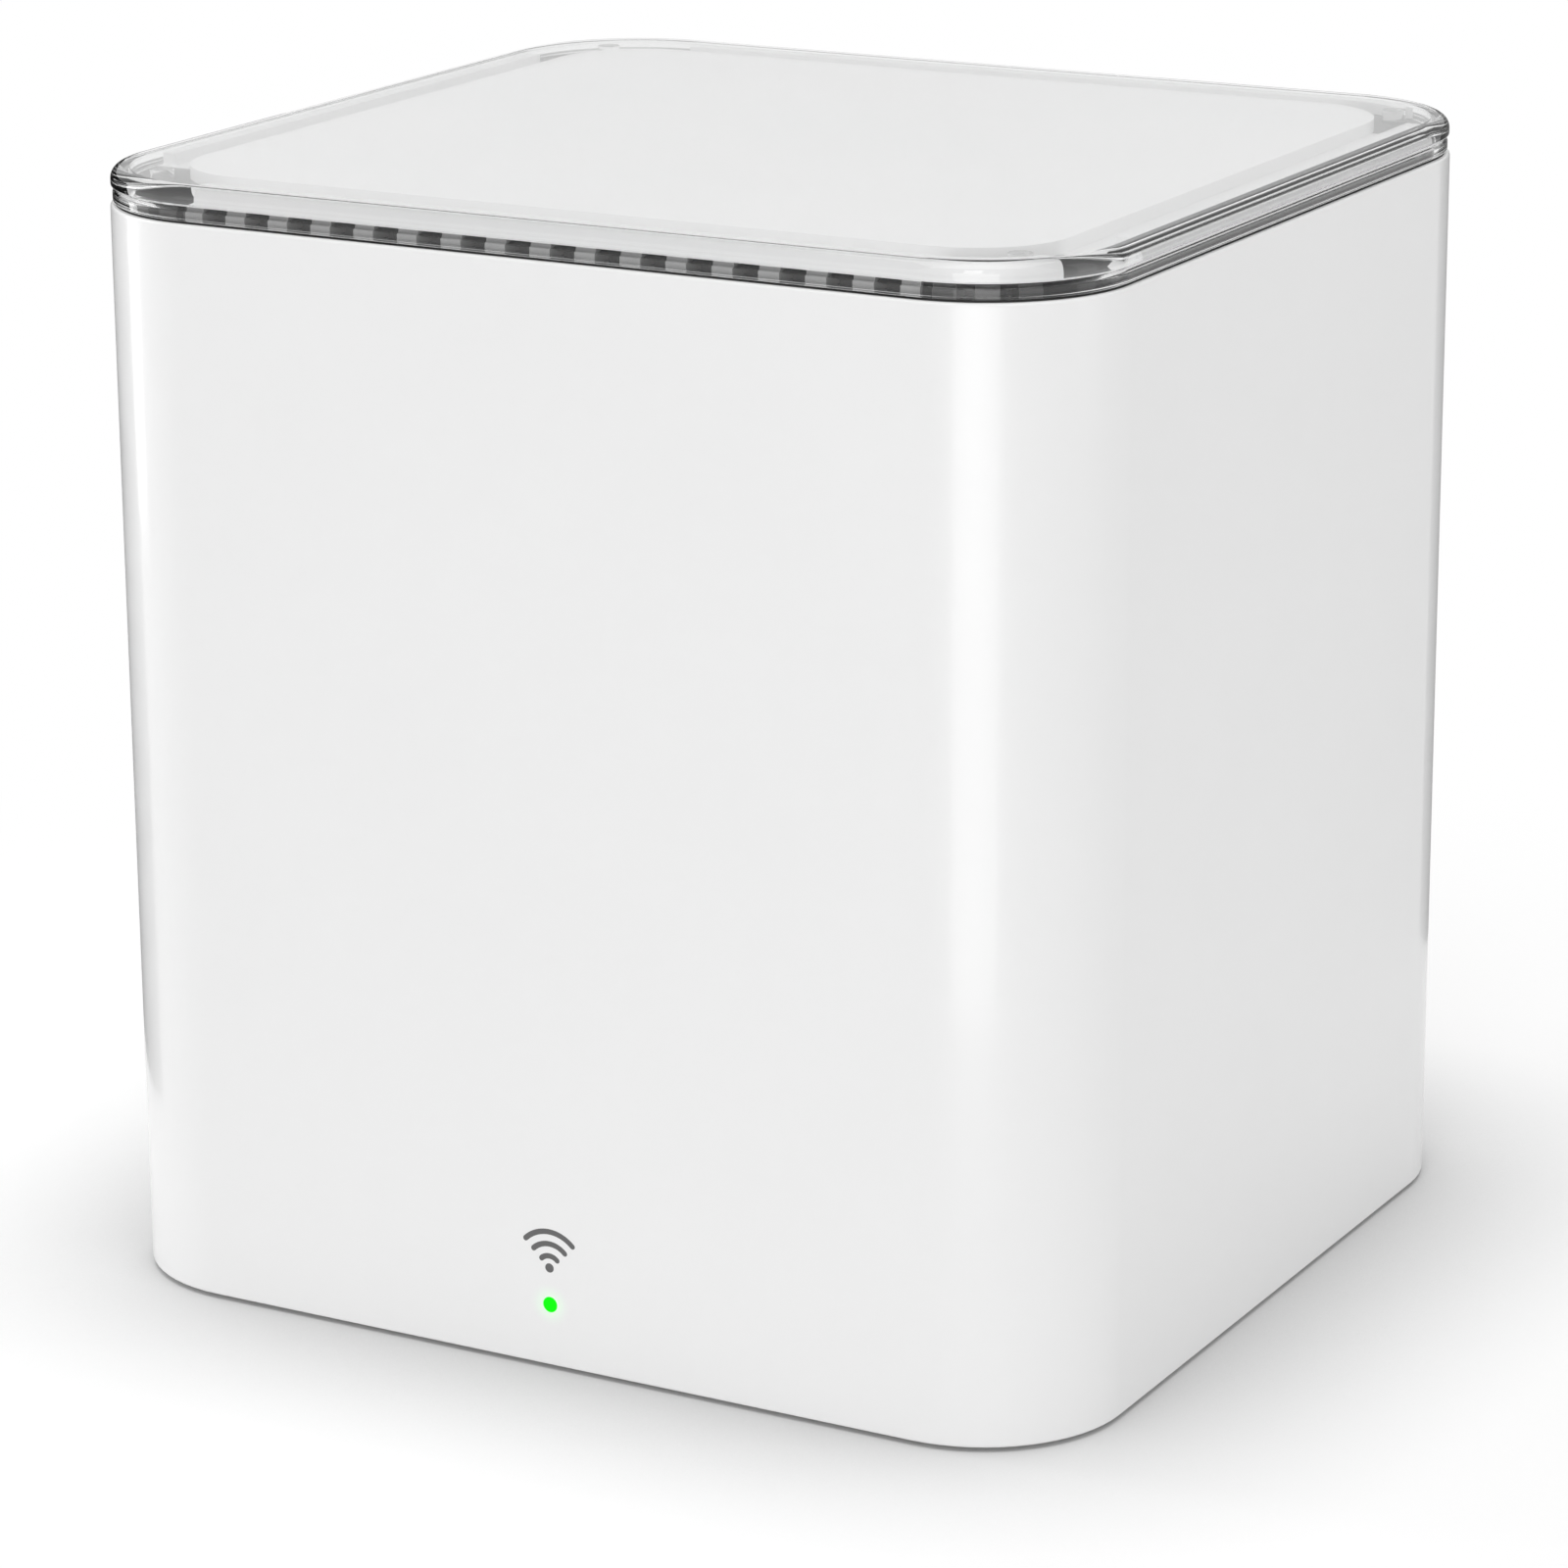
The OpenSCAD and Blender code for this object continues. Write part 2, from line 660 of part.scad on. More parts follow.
// opening in a network jack's front: the plug's body and the two steps for its latch
module plug_opening(depth, grow) {
    block(cavity_w + 2 * grow, 2 * depth, cavity_z0 - grow, cavity_z1 + grow);
    block(6.4 + 2 * grow, 2 * depth, cavity_z0 - 1.5 - grow, cavity_z0 + 1);
    block(4 + 2 * grow, 2 * depth, cavity_z0 - 2.6 - grow, cavity_z0 + 1);
}

module jack_shell() difference() {
    translate([-jack_w / 2, -jack_d, board_z1]) cube([jack_w, jack_d, jack_h]);
    translate([-jack_w / 2 + shell_t, -jack_d + shell_t, board_z1 - 1])
        cube([jack_w - 2 * shell_t, jack_d - 2 * shell_t, jack_h + 1 - shell_t]);
    plug_opening(2, 0.3);
}

module jack_insert() difference() {
    translate([-jack_w / 2 + shell_t, -jack_d + shell_t, board_z1])
        cube([jack_w - 2 * shell_t, jack_d - 2 * shell_t, jack_h - shell_t]);
    plug_opening(cavity_d, 0);
}

module jack_contacts()
    for (i = [0:7])
        translate([(i - 3.5) * 1.02 - 0.2, 0, cavity_z1]) rotate([90, 0, 90])
            linear_extrude(0.4) polygon([[-2.4, 0], [-3.6, 0], [-11.2, -2.3], [-11, -2.7], [-10.6, -2.7]]);

module wan_jack_shell() color("silver") at_jack(wan_x) jack_shell();
module wan_jack_insert() color("black") at_jack(wan_x) jack_insert();
module wan_jack_contacts() color("gold") at_jack(wan_x) jack_contacts();
module lan_jack_shell() color("silver") at_jack(lan_x) jack_shell();
module lan_jack_insert() color("black") at_jack(lan_x) jack_insert();
module lan_jack_contacts() color("gold") at_jack(lan_x) jack_contacts();

module dc_jack_body() color("black") difference() {
    block(dc_w, dc_d, board_z1, board_z1 + dc_h, dc_x, jack_front - dc_d / 2);
    rod_y(dc_hole_r, jack_front - dc_depth, jack_front + 1, dc_x, dc_z);
    // pocket for the spring contact, under the barrel
    block(2.2, 7, dc_z - dc_hole_r - 0.7, dc_z - 1, dc_x, jack_front - 5.5);
}

module dc_jack_pin() color("silver") {
    rod_y(dc_pin_r, jack_front - dc_depth, jack_front - 1.2, dc_x, dc_z);
    translate([dc_x, jack_front - 1.2 - EPS, dc_z]) rotate([-90, 0, 0])
        cylinder(r1 = dc_pin_r, r2 = dc_pin_r * 0.5, h = 0.6);
}

module dc_jack_spring() color("silver")
    translate([dc_x - 0.9, jack_front, dc_z - dc_hole_r]) rotate([90, 0, 90])
        linear_extrude(1.8) polygon([[-8.9, -0.7], [-2.1, -0.7], [-2.1, -0.4], [-5.5, 0.2], [-8.9, -0.4]]);

// ---------- board and what it carries ----------

module main_board() color("darkgreen") difference() {
    block(board_w, board_d, board_z0, board_z1);
    at_corners(boss_x, boss_y) post(notch_r, board_z0 - 1, board_z1 + 1);
    at_corners(board_w / 2, board_d / 2)
        block(board_w - 2 * boss_x - 2, board_d - 2 * boss_y - 3, board_z0 - 1, board_z1 + 1);
    at_corners(frame_screw_x, leg_y) post(frame_screw_r + 0.2, board_z0 - 1, board_z1 + 1);
    for (s = [-1, 1])
        post(sink_pin_r + 0.05, board_z0 - 1, board_z1 + 1, s * sink_pin_x, sink_y + s * sink_pin_y);
}

module chip(w, d, h, x, y) {
    block(w, d, board_z1, board_z1 + h, x, y);
}

module processor() color("black") chip(soc_w, soc_w, soc_h, 0, sink_y);
module memory_chip() color("black") chip(8, 12, 0.9, 14.5, sink_y + 3);
module flash_chip() color("black") chip(8, 6, 1.8, -14, -30);
module switch_chip() color("black") chip(9, 9, 0.9, -24, 18.8);
module crystal() color("silver") chip(3.2, 2.5, 0.8, -12, sink_y);
module radio_chips() color("black") for (s = [-1, 1]) chip(7, 7, 0.9, s * shield_x, 0);

module thermal_pad() color("lightblue") block(soc_w - 1, soc_w - 1, pad_z0, sink_z0, 0, sink_y);

module heat_sink() color("gray") difference() {
    union() {
        block(sink_w, sink_d, sink_z0, sink_z1, 0, sink_y);
        for (i = [0:fin_count - 1])
            block(fin_t, sink_d, sink_z1 - EPS, sink_z1 + fin_h,
                  (i / (fin_count - 1) - 0.5) * (sink_w - fin_t), sink_y);
    }
    for (s = [-1, 1]) translate([s * sink_pin_x, sink_y + s * sink_pin_y, 0]) {
        post(sink_pin_r + 0.1, sink_z0 - 1, sink_z1 + 1);
        post(sink_head_r + 1.4, sink_z1, sink_z1 + fin_h + 1);
    }
}

module sink_pins() color("black")
    for (s = [-1, 1]) translate([s * sink_pin_x, sink_y + s * sink_pin_y, 0]) {
        post(sink_pin_r, board_z0 - 0.3, sink_head_z + EPS);
        post(sink_head_r, sink_head_z, sink_head_z + 1.2);
    }

module sink_springs() color("silver")
    for (s = [-1, 1]) translate([s * sink_pin_x, sink_y + s * sink_pin_y, 0]) {
        turns = 3.5;
        z0 = sink_z1 + spring_wire / 2 + 0.05;
        rise = sink_head_z - sink_z1 - spring_wire - 0.1;
        wire([for (a = [0:30:360 * turns])
            [sink_spring_r * cos(a), sink_spring_r * sin(a), z0 + rise * a / (360 * turns)]],
            spring_wire / 2, 6, [0, 0, 1]);
    }

module shield(x) difference() {
    chip(shield_w, shield_d, shield_h, x, 0);
    block(shield_w - 0.5, shield_d - 0.5, board_z1 - 1, board_z1 + shield_h - 0.25, x, 0);
    for (i = [-2:2], j = [-3:3])
        post(0.6, board_z1 + 1, board_z1 + shield_h + 1, x + i * 2.4, j * 2.4);
}

module shield_left() color("silver") shield(-shield_x);
module shield_right() color("silver") shield(shield_x);

module ethernet_transformers() color("black") {
    for (x = [wan_x, lan_x]) chip(9, 6, 4, x, jack_front - jack_d - 5.3);
}

module power_coils() color("dimgray") {
    for (p = [[6 - boss_x, leg_y + leg_w / 2 + 3.5], [-27, -30], [27, -30]]) chip(5, 5, 2.8, p[0], p[1]);
}

module capacitors() color("silver")
    for (p = [[dc_x, jack_front - dc_d - 4], [boss_x - 15, boss_y - 5.75], [boss_x - 8, boss_y - 7.25]]) {
        chip(6, 6, 0.8, p[0], p[1]);
        post(2.8, board_z1 + 0.8 - EPS, board_z1 + 6.4, p[0], p[1]);
    }

module chip_passives() color("tan") {
    for (i = [0:7], s = [-1, 1]) chip(1, 0.5, 0.5, (i - 3.5) * 2.1, sink_y + s * 10.2);
    for (i = [0:4], s = [-1, 1]) chip(0.5, 0.7, 0.5, s * (shield_x - 9.2 - (i % 2)), 9.4 + 0.9 * i);
    for (i = [0:5]) chip(1.6, 0.8, 0.8, -5 + 3 * i, -31);
    for (i = [0:5]) chip(1.6, 0.8, 0.8, -5 + 3 * i, -34);
}

module status_led() color("palegreen")
    block(3, 1, board_z1, board_z1 + led_h, 0, -board_d / 2 + 0.75);

module antenna_socket_at(sx, sy) {
    translate([sx * socket_x, sy * socket_y, 0]) {
        chip(2.9, 2.6, 0.5, 0, 0);
        post(socket_r, board_z1 + 0.5 - EPS, board_z1 + socket_h);
    }
}

module antenna_sockets() color("gold") for (sx = [-1, 1], sy = [-1, 1]) antenna_socket_at(sx, sy);

// ---------- antennas ----------

module frame_ring(z0) {
    difference() {
        block(frame_w, frame_d, z0, z0 + ring_h);
        block(frame_w - 2 * ring_w, frame_d - 2 * ring_w, z0 - 1, z0 + ring_h + 1);
    }
}

module peg_x(z) {
    translate([-frame_w / 2 - antenna_t - 0.4, 0, z]) rotate([0, 90, 0])
        cylinder(r = peg_r, h = frame_w + 2 * antenna_t + 0.8);
}

module peg_y(z) {
    translate([0, frame_d / 2 + antenna_t + 0.4, z]) rotate([90, 0, 0])
        cylinder(r = peg_r, h = frame_d + 2 * antenna_t + 0.8);
}

module antenna_frame() color("lightgray") difference() {
    union() {
        frame_ring(ring_low);
        frame_ring(ring_top - ring_h);
        for (sx = [-1, 1], sy = [-1, 1]) {
            block(leg_t, leg_w, board_z1, ring_top, sx * (frame_w / 2 - leg_t / 2), sy * leg_y);
            block(foot_pad_w, leg_w, board_z1, board_z1 + pad_h,
                  sx * (frame_w / 2 - foot_pad_w / 2), sy * leg_y);
        }
        difference() {
            for (z = [ring_low + ring_h / 2, ring_top - ring_h / 2]) {
                peg_x(z);
                peg_y(z);
            }
            block(frame_w - ring_w, frame_d - ring_w, 0, ring_top + 1);
        }
    }
    at_corners(frame_screw_x, leg_y) post(frame_screw_r + 0.1, board_z1 - 1, board_z1 + pad_h + 1);
}

module frame_screws() color("silver")
    at_corners(frame_screw_x, leg_y) translate([0, 0, board_z1 + pad_h]) mirror([0, 0, 1])
        screw_up(frame_screw_r, pad_h + board_t + board_z0 - base_z0 - 0.9, 2.3, 1.4);

module antenna_board() difference() {
    translate([-antenna_w / 2, 0, antenna_z0]) cube([antenna_w, antenna_t, antenna_z1 - antenna_z0]);
    for (z = [ring_low + ring_h / 2, ring_top - ring_h / 2]) rod_y(peg_r + 0.1, -1, antenna_t + 1, 0, z);
}

// each antenna board stands outside the frame, at its own turn about Z
module at_antenna(turn) {
    rotate(turn) translate([0, turn % 180 == 0 ? antenna_y : antenna_x, 0]) children();
}

module antenna_rear() color("seagreen") at_antenna(0) antenna_board();
module antenna_left() color("seagreen") at_antenna(90) antenna_board();
module antenna_front() color("seagreen") at_antenna(180) antenna_board();
module antenna_right() color("seagreen") at_antenna(270) antenna_board();

// a printed dipole on the outside of each antenna board
module dipole() {
    arm = (antenna_z1 - antenna_z0) / 2 - 9;
    y = antenna_t + 0.01;
    for (s = [-1, 1]) translate([0, y, feed_z]) mirror([0, 0, s > 0 ? 0 : 1]) {
        translate([-1.5, 0, 1]) cube([3, trace_t, arm]);
        translate([-8, 0, arm - 2]) cube([16, trace_t, 3]);
        for (sx = [-1, 1]) translate([sx * 7 - 1, 0, arm - 12]) cube([2, trace_t, 12]);
    }
}

module antenna_traces() color("orange") for (turn = [0:90:270]) at_antenna(turn) dipole();

// routes of the leads, from a socket on the board up to the middle of each antenna
lead_r = coax_d / 2;
lead_z0 = board_z1 + socket_h + 0.02;
lead_x1 = frame_w / 2 - lead_r - 0.15;
lead_y1 = frame_d / 2 - lead_r - 0.15;
lead_start = [[socket_x, socket_y, lead_z0], [socket_x, socket_y, lead_z0 + 1], [socket_x, socket_y, 12]];
side_route = concat(lead_start, [[28, 6, 22], [36, 3, 36], [lead_x1 - 1, 0, 48], [lead_x1, 0, feed_z]]);
front_route = concat(lead_start, [[22, 18, 24], [12, 30, 36], [0, lead_y1 - 1.2, 48], [0, lead_y1, feed_z]]);

rear_route = [for (p = front_route) p[1] == socket_y ? [p[0], -p[1], p[2]] : p];

module lead(route, sx, sy) {
    wire(smooth_path([for (p = route) [sx * p[0], sy * p[1], p[2]]], 5), lead_r);
}

module antenna_leads() color("black") {
    lead(side_route, -1, 1);
    lead(side_route, 1, 1);
    lead(front_route, -1, -1);
    lead(rear_route, 1, 1);
}

outer_sleeve();
vent_frame();
vent_screen();
top_panel();
clear_cap();
cap_seal();
signal_icon();
light_pipe();
base_plate();
foot_front_left();
foot_front_right();
foot_rear_left();
foot_rear_right();
base_screws();
deck_screws();
rating_label();
port_panel();
mesh_button();
reset_button();
mesh_plunger();
reset_plunger();
mesh_switch();
reset_switch();
switch_domes();
wan_jack_shell();
wan_jack_insert();
wan_jack_contacts();
lan_jack_shell();
lan_jack_insert();
lan_jack_contacts();
dc_jack_body();
dc_jack_pin();
dc_jack_spring();
main_board();
processor();
memory_chip();
flash_chip();
switch_chip();
thermal_pad();
heat_sink();
sink_pins();
sink_springs();
shield_left();
shield_right();
radio_chips();
ethernet_transformers();
power_coils();
capacitors();
crystal();
chip_passives();
status_led();
antenna_sockets();
antenna_frame();
frame_screws();
antenna_left();
antenna_right();
antenna_front();
antenna_rear();
antenna_traces();
antenna_leads();
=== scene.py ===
"""Looks of the wireless router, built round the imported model.

Every node gets a procedural material. The clear cap is built anew from its profile, and the outer
sleeve is its CAD mesh with rolled rims. All lengths are in metres.
"""
import json
import math

import bmesh
import bpy
from mathutils import Matrix, Vector

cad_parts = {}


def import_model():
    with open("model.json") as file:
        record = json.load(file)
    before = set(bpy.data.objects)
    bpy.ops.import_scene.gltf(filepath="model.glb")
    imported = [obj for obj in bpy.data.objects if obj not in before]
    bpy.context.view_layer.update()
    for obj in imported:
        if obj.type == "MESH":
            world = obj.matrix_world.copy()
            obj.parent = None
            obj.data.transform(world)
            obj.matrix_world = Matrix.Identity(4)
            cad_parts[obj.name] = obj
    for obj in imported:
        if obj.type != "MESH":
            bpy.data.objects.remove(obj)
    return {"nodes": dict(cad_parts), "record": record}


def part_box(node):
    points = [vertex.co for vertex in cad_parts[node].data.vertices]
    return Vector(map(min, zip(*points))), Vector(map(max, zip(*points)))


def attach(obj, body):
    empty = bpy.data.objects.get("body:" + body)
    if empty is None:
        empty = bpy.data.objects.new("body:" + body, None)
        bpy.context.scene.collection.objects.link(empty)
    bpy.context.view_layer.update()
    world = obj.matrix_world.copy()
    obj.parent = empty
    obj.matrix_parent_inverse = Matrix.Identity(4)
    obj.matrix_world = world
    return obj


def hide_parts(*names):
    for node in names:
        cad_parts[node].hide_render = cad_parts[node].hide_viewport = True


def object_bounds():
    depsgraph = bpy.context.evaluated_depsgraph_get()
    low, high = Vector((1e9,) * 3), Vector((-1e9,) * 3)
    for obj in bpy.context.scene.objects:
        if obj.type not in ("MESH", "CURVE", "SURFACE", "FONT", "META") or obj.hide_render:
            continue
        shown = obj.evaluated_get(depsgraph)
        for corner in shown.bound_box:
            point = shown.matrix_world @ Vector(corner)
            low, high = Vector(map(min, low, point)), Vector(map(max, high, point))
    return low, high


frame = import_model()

CAD_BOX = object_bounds()
NODES = frame["nodes"]
MM = 0.001
MIDDLE = Vector((0, 0, (CAD_BOX[0].z + CAD_BOX[1].z) / 2))      # what the lamps look at
AIR = 0.03 * MM              # between the clear cap and the panel, which would render black if they met
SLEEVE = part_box("outer_sleeve")
HALF_W, HALF_D = SLEEVE[1][:2]
CORNER_R = 13.6 * MM         # of the case's upright corners
CORNERS = [(sx, sy) for sx in (-1, 1) for sy in (-1, 1)]
CREASE = math.radians(35)    # a sharper edge than this stays a crease


# ---------- materials ----------

class Shader:
    """A Principled material whose nodes are added one at a time."""

    def __init__(self, name):
        self.material = bpy.data.materials.new(name)
        self.material.use_nodes = True
        self.tree = self.material.node_tree
        self.tree.nodes.clear()
        self.output = self.tree.nodes.new("ShaderNodeOutputMaterial")
        self.bsdf = self.tree.nodes.new("ShaderNodeBsdfPrincipled")
        self.link(self.bsdf.outputs["BSDF"], self.output.inputs["Surface"])
        self.place = self.tree.nodes.new("ShaderNodeTexCoord").outputs["Object"]

    def node(self, kind, **values):
        made = self.tree.nodes.new("ShaderNode" + kind)
        for key, value in values.items():
            if key in made.inputs:
                made.inputs[key].default_value = value
            else:
                setattr(made, key, value)
        return made

    def link(self, output, target):
        self.tree.links.new(output, target)

    def set(self, **values):
        for key, value in values.items():
            self.bsdf.inputs[key.replace("_", " ")].default_value = value

    def noise(self, size, detail=3.0, stretch=(1, 1, 1)):
        """Noise whose features are about size metres across."""
        mapping = self.node("Mapping", Scale=[s / size for s in stretch])
        self.link(self.place, mapping.inputs["Vector"])
        texture = self.node("TexNoise", Scale=1.0, Detail=detail)
        self.link(mapping.outputs["Vector"], texture.inputs["Vector"])
        return texture.outputs["Fac"]

    def math(self, operation, *terms):
        """One arithmetic step. Each term is a number or a node's output."""
        made = self.node("Math", operation=operation)
        for term, target in zip(terms, made.inputs):
            if isinstance(term, (int, float)):
                target.default_value = term
            else:
                self.link(term, target)
        return made.outputs[0]

    def ramp(self, source, *stops):
        """Colours along a factor: each stop is (place, grey or colour)."""
        made = self.node("ValToRGB")
        bar = made.color_ramp
        while len(bar.elements) < len(stops):
            bar.elements.new(0.5)
        for element, (place, colour) in zip(bar.elements, stops):
            element.position = place
            element.color = (*rgb(colour), 1)
        self.link(source, made.inputs["Fac"])
        return made.outputs["Color"]

    def bump(self, source, height, strength=1.0, normal=None):
        made = self.node("Bump", Distance=height, Strength=strength)
        self.link(source, made.inputs["Height"])
        if normal is not None:
            self.link(normal, made.inputs["Normal"])
        self.link(made.outputs["Normal"], self.bsdf.inputs["Normal"])
        return made.outputs["Normal"]

    def round_edges(self, radius):
        made = self.node("Bevel", samples=6, Radius=radius)
        self.link(made.outputs["Normal"], self.bsdf.inputs["Normal"])
        return made.outputs["Normal"]


def rgb(colour):
    return (colour, colour, colour) if isinstance(colour, (int, float)) else tuple(colour)


def shade(colour, factor):
    return tuple(min(1.0, c * factor) for c in rgb(colour))


def plastic(name, colour, rough, grain=0.00035, depth=0.000004, vary=0.02, coat=0.0, edge=0.0):
    """Moulded plastic: fine spark texture, and faint patches of tone and gloss."""
    s = Shader(name)
    patches = s.noise(0.018, 2.0)
    s.link(s.ramp(patches, (0.3, shade(colour, 1 - vary)), (0.7, shade(colour, 1 + vary))),
           s.bsdf.inputs["Base Color"])
    s.link(s.ramp(s.noise(0.006), (0.3, rough * 0.9), (0.7, rough * 1.1)),
           s.bsdf.inputs["Roughness"])
    normal = s.round_edges(edge) if edge else None
    if depth:
        s.bump(s.noise(grain, 2.0), depth, 0.5, normal)
    s.set(IOR=1.5, Coat_Weight=coat, Coat_Roughness=0.12)
    return s.material


def metal(name, colour, rough, stretch=(1, 1, 1), vary=0.08, edge=0.0):
    """Plated or drawn metal: fine streaks along one axis."""
    s = Shader(name)
    streaks = s.noise(0.0012, 4.0, stretch)
    s.link(s.ramp(streaks, (0.3, shade(colour, 1 - vary)), (0.7, shade(colour, 1 + vary))),
           s.bsdf.inputs["Base Color"])
    s.link(s.ramp(streaks, (0.2, rough * 0.8), (0.8, rough * 1.25)), s.bsdf.inputs["Roughness"])
    normal = s.round_edges(edge) if edge else None
    s.bump(streaks, 0.000004, 0.3, normal)
    s.set(Metallic=1.0)
    return s.material


def clear_acrylic(name):
    """Polished clear acrylic with a trace of grey in its depth and of flow lines on its faces."""
    s = Shader(name)
    s.set(Transmission_Weight=1.0, IOR=1.49)
    haze = s.noise(0.02, 2.0)
    s.link(s.ramp(haze, (0.3, (0.985, 0.99, 0.99)), (0.7, (1, 1, 1))),
           s.bsdf.inputs["Base Color"])
    s.link(s.ramp(haze, (0.3, 0.012), (0.7, 0.03)), s.bsdf.inputs["Roughness"])
    # lamps shine through it, so that what lies behind isn't in a solid's shadow
    path = s.node("LightPath")
    through = s.node("BsdfTransparent")
    through.inputs["Color"].default_value = (0.94, 0.94, 0.94, 1)
    mix = s.node("MixShader")
    s.link(path.outputs["Is Shadow Ray"], mix.inputs["Fac"])
    s.link(s.bsdf.outputs["BSDF"], mix.inputs[1])
    s.link(through.outputs["BSDF"], mix.inputs[2])
    s.link(mix.outputs["Shader"], s.output.inputs["Surface"])
    return s.material


def vent_plastic_painted_shade(name, *shade_levels):
    """White moulding with painted shade: its lower steps, deep in the vent, are painted dark by height.
    Each level is (height, grey).
    """
    s = Shader(name)
    low, high = shade_levels[0][0], shade_levels[-1][0]
    split = s.node("SeparateXYZ")
    s.link(s.place, split.inputs["Vector"])
    height = s.node("MapRange")
    height.inputs["From Min"].default_value = low
    height.inputs["From Max"].default_value = high
    s.link(split.outputs["Z"], height.inputs["Value"])
    stops = [((z - low) / (high - low), grey) for z, grey in shade_levels]
    # painted shade: up to the highest level given, the moulding is painted near-black at the case's
    # four corners
    across = [s.math("SUBTRACT", s.math("ABSOLUTE", split.outputs[axis]), half - CORNER_R)
              for axis, half in (("X", HALF_W), ("Y", HALF_D))]
    in_corner = s.math("GREATER_THAN", s.math("MINIMUM", *across), 0.0)
    low_enough = s.math("LESS_THAN", split.outputs["Z"], high + 0.05 * MM)
    painted_corner_shade = s.node("Mix", data_type="RGBA")
    painted_corner_shade.inputs["B"].default_value = (0.03, 0.03, 0.03, 1)
    s.link(s.math("MULTIPLY", in_corner, low_enough), painted_corner_shade.inputs["Factor"])
    s.link(s.ramp(height.outputs["Result"], *stops), painted_corner_shade.inputs["A"])
    s.link(painted_corner_shade.outputs["Result"], s.bsdf.inputs["Base Color"])
    s.link(s.ramp(s.noise(0.006), (0.3, 0.4), (0.7, 0.5)), s.bsdf.inputs["Roughness"])
    s.bump(s.noise(0.00035, 2.0), 0.000001, 0.5)
    return s.material


def glow_round(material, centre, radius, colour):
    """Light that leaks into a moulding's skin round a light pipe, fading out at radius."""
    tree = material.node_tree
    bsdf = next(n for n in tree.nodes if n.type == "BSDF_PRINCIPLED")
    place = next(n for n in tree.nodes if n.type == "TEX_COORD")
    away = tree.nodes.new("ShaderNodeVectorMath")
    away.operation = "DISTANCE"
    away.inputs[1].default_value = centre
    tree.links.new(place.outputs["Object"], away.inputs[0])
    fade = tree.nodes.new("ShaderNodeMapRange")
    fade.interpolation_type = "SMOOTHERSTEP"
    fade.inputs["From Max"].default_value = radius
    fade.inputs["To Min"].default_value = 1.0
    fade.inputs["To Max"].default_value = 0.0
    tree.links.new(away.outputs["Value"], fade.inputs["Value"])
    tint = tree.nodes.new("ShaderNodeMix")
    tint.data_type = "RGBA"
    tint.inputs["A"].default_value = (0, 0, 0, 1)
    tint.inputs["B"].default_value = (*colour, 1)
    tree.links.new(fade.outputs["Result"], tint.inputs["Factor"])
    tree.links.new(tint.outputs["Result"], bsdf.inputs["Emission Color"])
    bsdf.inputs["Emission Strength"].default_value = 1.0


def glowing(name, colour, strength):
    """A light pipe's end: its glow mottled by fine noise, with a slightly frosted skin."""
    s = Shader(name)
    cells = s.noise(0.0006, 2.0)
    s.link(s.ramp(cells, (0.2, shade(colour, 0.85)), (0.8, colour)), s.bsdf.inputs["Base Color"])
    s.link(s.ramp(cells, (0.2, shade(colour, 0.92)), (0.8, colour)), s.bsdf.inputs["Emission Color"])
    s.set(Emission_Strength=strength, Roughness=0.35, Specular_IOR_Level=0.1)
    return s.material


def board_mask(name, colour):
    """Solder mask over copper: faint tracks and pours under the green."""
    s = Shader(name)
    tracks = s.node("TexBrick", Scale=260.0)
    tracks.inputs["Mortar Size"].default_value = 0.06
    tracks.inputs["Color1"].default_value = (*shade(colour, 0.85), 1)
    tracks.inputs["Color2"].default_value = (*colour, 1)
    tracks.inputs["Mortar"].default_value = (*shade(colour, 1.7), 1)
    s.link(s.place, tracks.inputs["Vector"])
    s.link(tracks.outputs["Color"], s.bsdf.inputs["Base Color"])
    s.link(s.ramp(s.noise(0.004), (0.3, 0.3), (0.7, 0.42)), s.bsdf.inputs["Roughness"])
    return s.material


def mesh_screen(name):
    """Fine woven dust mesh, black."""
    s = Shader(name)
    weave = s.node("TexChecker", Scale=2500.0)
    s.link(s.place, weave.inputs["Vector"])
    s.link(s.ramp(weave.outputs["Fac"], (0.0, 0.015), (1.0, 0.05)), s.bsdf.inputs["Base Color"])
    s.bump(weave.outputs["Fac"], 0.00005)
    s.set(Roughness=0.8)
    return s.material


